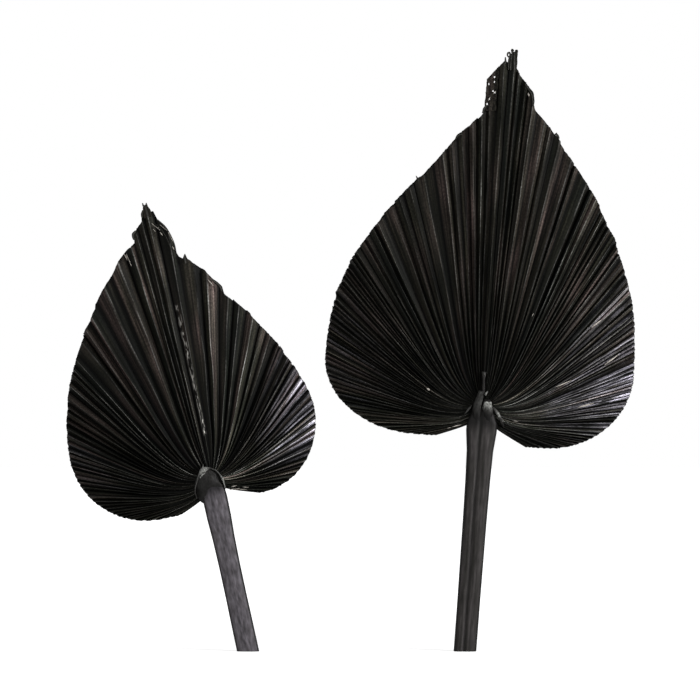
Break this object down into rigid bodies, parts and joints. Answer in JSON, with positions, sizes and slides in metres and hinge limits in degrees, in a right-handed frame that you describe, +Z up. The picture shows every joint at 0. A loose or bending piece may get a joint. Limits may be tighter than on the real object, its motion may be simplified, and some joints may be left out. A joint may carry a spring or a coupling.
{
  "type": "pair of dried fan palm leaves",
  "caption": "Dried, black-dyed fan palm leaves with flat pleated spade-shaped blades on short stalks, for a vase or wall arrangement.",
  "frame": {"origin": "middle of the larger leaf's level stalk cut, on the surface that both stalks stand on", "axes": "+Z up the leaves, -Y out of their fronts, +X to the right as seen from the front, from the smaller leaf to the larger"},
  "size_m": [0.286, 0.0172, 0.3011],
  "materials": {
    "dyed_blade": "satin",
    "dyed_stalk": "satin"
  },
  "bodies": {
    "root": {"large_stalk": "dyed_stalk", "large_midrib": "dyed_stalk", "large_hastula": "dyed_stalk", "small_stalk": "dyed_stalk", "small_midrib": "dyed_stalk", "small_hastula": "dyed_stalk", "large_left_folds_01": "dyed_blade", "large_left_folds_02": "dyed_blade", "large_left_folds_03": "dyed_blade", "large_left_folds_04": "dyed_blade", "large_left_folds_05": "dyed_blade", "large_left_folds_06": "dyed_blade", "large_left_folds_07": "dyed_blade", "large_left_folds_08": "dyed_blade", "large_left_folds_09": "dyed_blade", "large_left_folds_10": "dyed_blade", "large_left_folds_11": "dyed_blade", "large_left_folds_12": "dyed_blade", "large_left_folds_13": "dyed_blade", "large_left_folds_14": "dyed_blade", "large_right_folds_01": "dyed_blade", "large_right_folds_02": "dyed_blade", "large_right_folds_03": "dyed_blade", "large_right_folds_04": "dyed_blade", "large_right_folds_05": "dyed_blade", "large_right_folds_06": "dyed_blade", "large_right_folds_07": "dyed_blade", "large_right_folds_08": "dyed_blade", "large_right_folds_09": "dyed_blade", "large_right_folds_10": "dyed_blade", "large_right_folds_11": "dyed_blade", "large_right_folds_12": "dyed_blade", "large_right_folds_13": "dyed_blade", "large_right_folds_14": "dyed_blade", "small_left_folds_01": "dyed_blade", "small_left_folds_02": "dyed_blade", "small_left_folds_03": "dyed_blade", "small_left_folds_04": "dyed_blade", "small_left_folds_05": "dyed_blade", "small_left_folds_06": "dyed_blade", "small_left_folds_07": "dyed_blade", "small_left_folds_08": "dyed_blade", "small_left_folds_09": "dyed_blade", "small_left_folds_10": "dyed_blade", "small_left_folds_11": "dyed_blade", "small_right_folds_01": "dyed_blade", "small_right_folds_02": "dyed_blade", "small_right_folds_03": "dyed_blade", "small_right_folds_04": "dyed_blade", "small_right_folds_05": "dyed_blade", "small_right_folds_06": "dyed_blade", "small_right_folds_07": "dyed_blade", "small_right_folds_08": "dyed_blade", "small_right_folds_09": "dyed_blade", "small_right_folds_10": "dyed_blade", "small_right_folds_11": "dyed_blade"}
  },
  "joints": []
}
